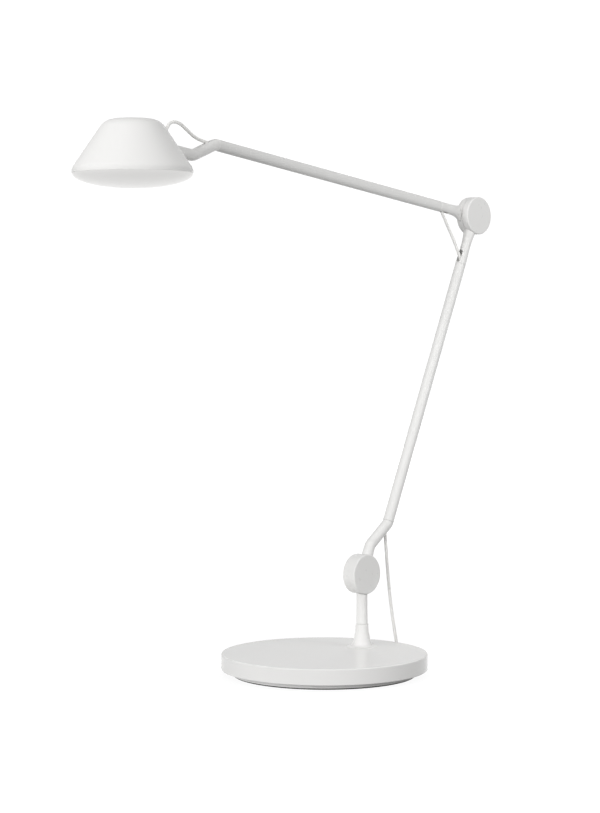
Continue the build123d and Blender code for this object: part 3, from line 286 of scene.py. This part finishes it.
plug_core = spun(
    "connector_core", plug_start * MM, plug_dir,
    [(29.5, 0.0), (29.5, 2.18), (45.7, 2.18), (45.9, 2.05), (45.9, 1.25), (45.7, 1.08), (38.0, 1.08), (38.0, 0.0)], 48,
)
for piece, node in ((plug_sleeve, "plug_sleeve"), (plug_body, "plug_body"), (plug_tip, "plug_tip")):
    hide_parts(node)

# ---------------------------------------------------------------------------
# Materials
# ---------------------------------------------------------------------------


class Graph:
    """Short names for building a material's nodes."""

    def __init__(self, name):
        self.mat = bpy.data.materials.new(name)
        self.mat.use_nodes = True
        self.tree = self.mat.node_tree
        self.tree.nodes.clear()
        self.out = self.add("ShaderNodeOutputMaterial")
        self.bsdf = self.add("ShaderNodeBsdfPrincipled")
        self.wire(self.bsdf.outputs[0], self.out.inputs["Surface"])
        self.place = self.add("ShaderNodeTexCoord").outputs["Object"]

    def add(self, kind, **values):
        n = self.tree.nodes.new(kind)
        for k, v in values.items():
            setattr(n, k, v)
        return n

    def wire(self, a, b):
        self.tree.links.new(a, b)

    def noise(self, scale, detail=2.0, rough=0.5, where=None, distortion=0.0):
        n = self.add("ShaderNodeTexNoise")
        n.inputs["Scale"].default_value = scale
        n.inputs["Detail"].default_value = detail
        n.inputs["Roughness"].default_value = rough
        n.inputs["Distortion"].default_value = distortion
        self.wire(where or self.place, n.inputs["Vector"])
        return n.outputs["Fac"]

    def ramp(self, fac, stops):
        n = self.add("ShaderNodeValToRGB")
        e = n.color_ramp.elements
        while len(e) < len(stops):
            e.new(0.5)
        for el, (p, c) in zip(e, stops):
            el.position = p
            el.color = (*c, 1) if len(c) == 3 else c
        self.wire(fac, n.inputs["Fac"])
        return n.outputs["Color"]

    def span(self, fac, low, high, a=0.0, b=1.0):
        n = self.add("ShaderNodeMapRange")
        for k, v in zip(("From Min", "From Max", "To Min", "To Max"), (a, b, low, high)):
            n.inputs[k].default_value = v
        self.wire(fac, n.inputs["Value"])
        return n.outputs["Result"]

    def math(self, op, a, b=None):
        n = self.add("ShaderNodeMath", operation=op)
        for i, v in enumerate((a, b)):
            if v is None:
                continue
            if isinstance(v, (int, float)):
                n.inputs[i].default_value = v
            else:
                self.wire(v, n.inputs[i])
        return n.outputs[0]

    def bump(self, height, strength, distance, before=None):
        n = self.add("ShaderNodeBump")
        n.inputs["Strength"].default_value = strength
        n.inputs["Distance"].default_value = distance
        self.wire(height, n.inputs["Height"])
        if before is not None:
            self.wire(before, n.inputs["Normal"])
        return n.outputs["Normal"]

    def put(self, socket, value):
        s = self.bsdf.inputs[socket]
        if hasattr(value, "links"):
            self.wire(value, s)
        else:
            s.default_value = (*value, 1) if isinstance(value, tuple) and len(value) == 3 else value


def shade_of(c, k):
    return tuple(min(1.0, x * k) for x in c)


def lacquer(name, colour, gloss=(0.24, 0.32), peel=0.05):
    """Sprayed semi-gloss lacquer: a trace of cloudiness, almost even gloss and a fine orange peel."""
    g = Graph(name)
    cloud = g.noise(14, 3, 0.55)
    g.put("Base Color", g.ramp(cloud, [(0.3, shade_of(colour, 0.994)), (0.7, shade_of(colour, 1.006))]))
    g.put("Roughness", g.span(g.noise(160, 3, 0.5), gloss[0], gloss[1], 0.3, 0.7))
    g.put("Normal", g.bump(g.noise(700, 2, 0.5), peel, 0.0002))
    g.bsdf.inputs["Specular IOR Level"].default_value = 0.5
    return g.mat


WHITE = (0.752, 0.748, 0.738)
# the same white lacquer on all of these: the base's and the lampshade's copies are painted lighter and the upper
# tube's copy is painted darker, as painted light and painted shade for how the lamps fall on each part
m_base_painted_lighter = lacquer("white_lacquer_base_painted_lighter", shade_of(WHITE, 1.05), (0.10, 0.13), 0.010)
m_cast = lacquer("white_lacquer_casting", WHITE, (0.27, 0.32), 0.014)
m_tube = lacquer("white_lacquer_tube", WHITE, (0.24, 0.28), 0.012)
m_tube_upper_painted_darker = lacquer("white_lacquer_upper_tube_painted_darker", shade_of(WHITE, 0.96), (0.24, 0.28), 0.012)
m_shade_painted_lighter = lacquer("white_lacquer_shade_painted_lighter", shade_of(WHITE, 1.025), (0.36, 0.40), 0.012)


def opal():
    """Milky plastic: soft inside, satin outside, a faint flow cloud, and a painted glow: a steady emission over very
    little diffuse colour, standing in for the even light through the milky plastic, not the lamp's own light.
    """
    g = Graph("opal_plastic_painted_glow")
    # diffuse colour kept very low, so the painted glow below sets an even tone
    g.put("Base Color", g.ramp(g.noise(20, 3, 0.5), [(0.3, (0.115, 0.1145, 0.113)), (0.7, (0.135, 0.1345, 0.133))]))
    g.put("Roughness", g.span(g.noise(120, 3, 0.6), 0.32, 0.38, 0.3, 0.7))
    g.put("Normal", g.bump(g.noise(1800, 2, 0.5), 0.012, 0.0002))
    # painted glow: emission in place of the light that passes through the plastic
    g.put("Emission Color", (1.0, 0.993, 0.98))
    g.put("Emission Strength", 0.600)
    b = g.bsdf.inputs
    b["Subsurface Weight"].default_value = 0.25
    b["Subsurface Radius"].default_value = (1.0, 0.95, 0.9)
    b["Subsurface Scale"].default_value = 0.004
    b["IOR"].default_value = 1.49
    b["Specular IOR Level"].default_value = 0.06
    return g.mat


def plastic(name, colour, rough=(0.4, 0.5), grain=0.12, scale=2600):
    """Moulded plastic with a fine eroded grain."""
    g = Graph(name)
    g.put("Base Color", g.ramp(g.noise(60, 3, 0.5), [(0.3, shade_of(colour, 0.96)), (0.7, shade_of(colour, 1.03))]))
    g.put("Roughness", g.span(g.noise(300, 3, 0.6), rough[0], rough[1], 0.3, 0.7))
    g.put("Normal", g.bump(g.noise(scale, 3, 0.6), grain, 0.0002))
    return g.mat


def metal(name, colour, rough=(0.25, 0.4), scale=(900, 60, 900), streak=0.08):
    """Turned or brushed metal: fine streaks across the part and slightly cloudy plating."""
    g = Graph(name)
    m = g.add("ShaderNodeMapping")
    m.inputs["Scale"].default_value = scale
    g.wire(g.place, m.inputs["Vector"])
    streaks = g.noise(1.0, 3, 0.6, m.outputs["Vector"])
    g.put("Base Color", g.ramp(g.noise(110, 4, 0.6), [(0.3, shade_of(colour, 0.9)), (0.7, shade_of(colour, 1.06))]))
    g.put("Metallic", 1.0)
    g.put("Roughness", g.span(streaks, rough[0], rough[1], 0.3, 0.7))
    g.put("Normal", g.bump(streaks, streak, 0.0002))
    return g.mat


def rubber(name, colour, grain=0.3):
    g = Graph(name)
    g.put("Base Color", g.ramp(g.noise(160, 4, 0.6), [(0.3, shade_of(colour, 0.85)), (0.7, shade_of(colour, 1.15))]))
    g.put("Roughness", g.span(g.noise(500, 3, 0.6), 0.62, 0.8, 0.3, 0.7))
    g.put("Normal", g.bump(g.noise(3200, 3, 0.6), grain, 0.0002))
    return g.mat


def braid(name, colour):
    """Fine braided sleeve. The pattern follows the cord: u goes round it, v along it."""
    g = Graph(name)
    uv = g.add("ShaderNodeUVMap", uv_map="UVMap").outputs["UV"]
    sep = g.add("ShaderNodeSeparateXYZ")
    g.wire(uv, sep.inputs[0])
    u = g.math("MULTIPLY", sep.outputs[0], 2 * math.pi * 8)
    v = g.math("MULTIPLY", sep.outputs[1], 2 * math.pi * 8)
    left = g.math("ABSOLUTE", g.math("SINE", g.math("ADD", u, v)))
    rght = g.math("ABSOLUTE", g.math("SINE", g.math("SUBTRACT", u, v)))
    over = g.math("GREATER_THAN", g.math("MULTIPLY", g.math("SINE", u), g.math("SINE", v)), 0.0)
    under = g.math("SUBTRACT", 1.0, over)
    weave = g.math("ADD", g.math("MULTIPLY", left, over), g.math("MULTIPLY", rght, under))
    fibre = g.noise(5200, 3, 0.7)
    height = g.math("ADD", g.math("MULTIPLY", weave, 0.75), g.math("MULTIPLY", fibre, 0.25))
    g.put("Base Color", g.ramp(height, [(0.15, shade_of(colour, 0.90)), (0.75, shade_of(colour, 1.06))]))
    g.put("Roughness", g.span(fibre, 0.68, 0.85, 0.3, 0.7))
    g.put("Normal", g.bump(height, 0.5, 0.00025))
    b = g.bsdf.inputs
    b["Sheen Weight"].default_value = 0.25
    b["Sheen Roughness"].default_value = 0.5
    return g.mat


def plain_cord(name, colour):
    """The same sleeve on the stretches inside the arms."""
    g = Graph(name)
    height = g.noise(2600, 4, 0.7)
    g.put("Base Color", g.ramp(height, [(0.3, shade_of(colour, 0.85)), (0.7, shade_of(colour, 1.05))]))
    g.put("Roughness", g.span(height, 0.7, 0.85, 0.3, 0.7))
    g.put("Normal", g.bump(height, 0.4, 0.0002))
    return g.mat


CORD = (0.87, 0.864, 0.845)
m_opal_painted_glow = opal()
m_cord = braid("cord_braid", CORD)
m_inner_cord = plain_cord("cord_inside", CORD)
m_plinth = plastic("plinth_pale_paint", (0.80, 0.796, 0.786), (0.5, 0.62), 0.2, 1800)
m_pad = rubber("pad_rubber", (0.028, 0.028, 0.028))
m_bush = plastic("bearing_plastic", (0.62, 0.617, 0.605), (0.4, 0.5))
m_washer = plastic("washer_white", (0.745, 0.741, 0.731), (0.34, 0.42), 0.05)
m_core = plastic("connector_black", (0.045, 0.045, 0.048), (0.4, 0.5))
m_zinc = metal("zinc_steel", (0.62, 0.63, 0.65))
m_plate = metal("ballast_steel", (0.30, 0.30, 0.31), (0.4, 0.55))
m_alu = metal("bare_aluminium", (0.72, 0.73, 0.74), (0.3, 0.42))
m_nickel = metal("nickel", (0.70, 0.68, 0.65), (0.14, 0.24), (1200, 1200, 200), 0.04)
m_board = plastic("board_white", (0.78, 0.78, 0.76), (0.35, 0.45), 0.05)
m_phosphor = plastic("phosphor", (0.86, 0.72, 0.22), (0.12, 0.2), 0.03)
m_reflector = plastic("reflector_white", (0.84, 0.84, 0.83), (0.28, 0.36), 0.04)
m_gland = plastic("gland_white", (0.76, 0.755, 0.745), (0.42, 0.52), 0.1)
m_switch = plastic("switch_white", (0.74, 0.735, 0.72), (0.40, 0.50), 0.16)
m_rocker = plastic("rocker_grey", (0.55, 0.55, 0.545), (0.26, 0.34), 0.05)
m_tie = rubber("tie_grey", (0.56, 0.558, 0.55), 0.4)
m_plug = plastic("connector_white", (0.72, 0.715, 0.70), (0.42, 0.52), 0.16)
m_sleeve = rubber("sleeve_grey", (0.60, 0.597, 0.585), 0.2)


def wear(mat, *names):
    for n in names:
        ob = nodes[n] if isinstance(n, str) else n
        ob.data.materials.clear()
        ob.data.materials.append(mat)
        ob.data.polygons.foreach_set("material_index", [0] * len(ob.data.polygons))


wear(m_base_painted_lighter, "base_cover")
wear(
    m_cast, "post_socket", "post_stem", "lower_rear_cap", "lower_front_cap", "elbow_front_cap", "elbow_rear_cap",
    "lower_gooseneck", "lower_arm_end", "upper_arm_end", "head_gooseneck",
)
wear(m_tube, "lower_tube")
wear(m_tube_upper_painted_darker, "upper_tube")
wear(m_shade_painted_lighter, "shade")
wear(m_opal_painted_glow, "diffuser")
wear(m_plinth, "bottom_plate")
wear(m_pad, "foot_pad")
wear(m_bush, "swivel_bush", "elbow_friction_washer", "head_friction_washer")
wear(m_washer, "lower_friction_washer")
wear(m_core, plug_core)
wear(
    m_zinc, "bottom_screws", "socket_nut", "swivel_spindle", "swivel_washer", "swivel_nut", "lower_pivot_bolt",
    "lower_pivot_nut", "lower_spring_washer", "elbow_pivot_bolt", "elbow_pivot_nut", "elbow_spring_washer",
    "head_pivot_screw", "head_pivot_nut", "bracket_screws", "sink_screws", "shade_studs",
)
wear(m_plate, "ballast_plate")
wear(m_alu, "heat_sink", "head_bracket")
wear(m_board, "led_board")
wear(m_phosphor, "led_chips")
wear(m_reflector, "reflector")
wear(m_gland, "cord_gland")
wear(m_switch, "switch_housing")
wear(m_rocker, "switch_rocker")
wear(m_tie, "coil_tie")
wear(m_inner_cord, "cord_upper_run", "cord_lower_run")
wear(m_cord, cord_loop, cord_span, cord_drop, cord_lead)
wear(m_plug, plug_body)
wear(m_sleeve, plug_sleeve)
wear(m_nickel, plug_tip)
wear(
    m_inner_cord, "cord_head_loop", "cord_elbow_span", "cord_drop_upper", "cord_drop_lower", "cord_floor_lead",
    "cord_switch_lead", "cord_coil", "cord_plug_lead",
)

# ---------------------------------------------------------------------------
# What each piece moves with
# ---------------------------------------------------------------------------
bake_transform(cord_loop)
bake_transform(cord_span)
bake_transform(cord_drop)
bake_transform(cord_lead)
for piece in (plug_sleeve, plug_body, plug_tip, plug_core):
    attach(piece, "base")

print("cord lengths", [round(measure(x), 4) for x in (loop_line, span_line, drop_line, lead_line)])

# ---------------------------------------------------------------------------
# Floor and light
# ---------------------------------------------------------------------------
floor = mesh_piece(
    "floor", [(-60, -60, 0), (60, -60, 0), (60, 60, 0), (-60, 60, 0)], [(0, 1, 2, 3)], smooth=False
)
floor.location.z = -0.0002
g = Graph("floor_pale")
far = g.add("ShaderNodeVectorMath", operation="LENGTH")
g.wire(g.place, far.inputs[0])
g.put("Base Color", g.ramp(g.noise(3, 2, 0.5), [(0.3, (0.10, 0.10, 0.10)), (0.7, (0.11, 0.11, 0.11))]))
g.put("Roughness", 0.9)
g.put("Emission Color", (1, 1, 1))
g.put("Emission Strength", g.span(far.outputs["Value"], 0.93, 1.05, 0.3, 1.6))
g.bsdf.inputs["Specular IOR Level"].default_value = 0.0
wear(g.mat, floor)
floor.visible_diffuse = False
floor.visible_shadow = False

world = bpy.data.worlds.new("studio")
world.use_nodes = True
scene.world = world
wt = world.node_tree
wt.nodes.clear()
w_out = wt.nodes.new("ShaderNodeOutputWorld")
w_bg = wt.nodes.new("ShaderNodeBackground")
wt.links.new(w_bg.outputs[0], w_out.inputs[0])
w_bg.inputs["Color"].default_value = (1, 1, 1, 1)
# white behind the object, a little dimmer in its reflections, dimmer still as a light, and weaker from below
w_path = wt.nodes.new("ShaderNodeLightPath")
w_dir = wt.nodes.new("ShaderNodeTexCoord")
w_sep = wt.nodes.new("ShaderNodeSeparateXYZ")
wt.links.new(w_dir.outputs["Generated"], w_sep.inputs[0])
w_soft = wt.nodes.new("ShaderNodeMapRange")
for k, v in zip(("From Min", "From Max", "To Min", "To Max"), (-0.05, 0.05, 0.170, 0.335)):
    w_soft.inputs[k].default_value = v
wt.links.new(w_sep.outputs[2], w_soft.inputs["Value"])
w_gloss = wt.nodes.new("ShaderNodeMapRange")
wt.links.new(w_path.outputs["Is Glossy Ray"], w_gloss.inputs["Value"])
wt.links.new(w_soft.outputs["Result"], w_gloss.inputs["To Min"])
w_gloss.inputs["To Max"].default_value = 0.68
w_seen = wt.nodes.new("ShaderNodeMapRange")
wt.links.new(w_path.outputs["Is Camera Ray"], w_seen.inputs["Value"])
wt.links.new(w_gloss.outputs["Result"], w_seen.inputs["To Min"])
w_seen.inputs["To Max"].default_value = 1.08
wt.links.new(w_seen.outputs["Result"], w_bg.inputs["Strength"])


def soft_box(name, place, aim, size, power, mirrored=True):
    data = bpy.data.lights.new(name, "AREA")
    data.shape = "RECTANGLE"
    data.size, data.size_y = size
    data.energy = power
    ob = bpy.data.objects.new(name, data)
    scene.collection.objects.link(ob)
    ob.location = place
    ob.rotation_mode = "QUATERNION"
    ob.rotation_quaternion = (Vector(aim) - Vector(place)).to_track_quat("-Z", "Y")
    ob.visible_camera = False
    ob.visible_glossy = mirrored
    return ob


up = Vector((0, 0, 1))
aim = Vector((0, 0, 0.3))


def direction(turn, rise):
    """From the object towards a light: turned to the right of the camera and raised, in degrees."""
    a, e = math.radians(turn), math.radians(rise)
    return (toward * math.cos(a) + right * math.sin(a)) * math.cos(e) + up * math.sin(e)


# a broad low key from the left, a weaker high one, a small fill by the elbow and a broad one for the back
soft_box("key", aim + direction(-34, 8) * 4.0, aim, (2.2, 2.0), 108.0, False)
soft_box("high", aim + direction(-40, 55) * 4.0, aim, (2.0, 2.0), 40.0, False)
soft_box(
    "fill", aim + right * 0.9 + toward * 0.45 + up * 0.3, aim + right * 0.17 - toward * 0.18 + up * 0.2, (0.4, 0.4), 5.0, False
)

soft_box("back", aim + direction(172, 12) * 4.0, aim, (2.4, 2.0), 110.0, False)

scene.view_settings.view_transform = "Standard"
scene.view_settings.look = "None"
scene.view_settings.exposure = 0.0
scene.view_settings.gamma = 1.0
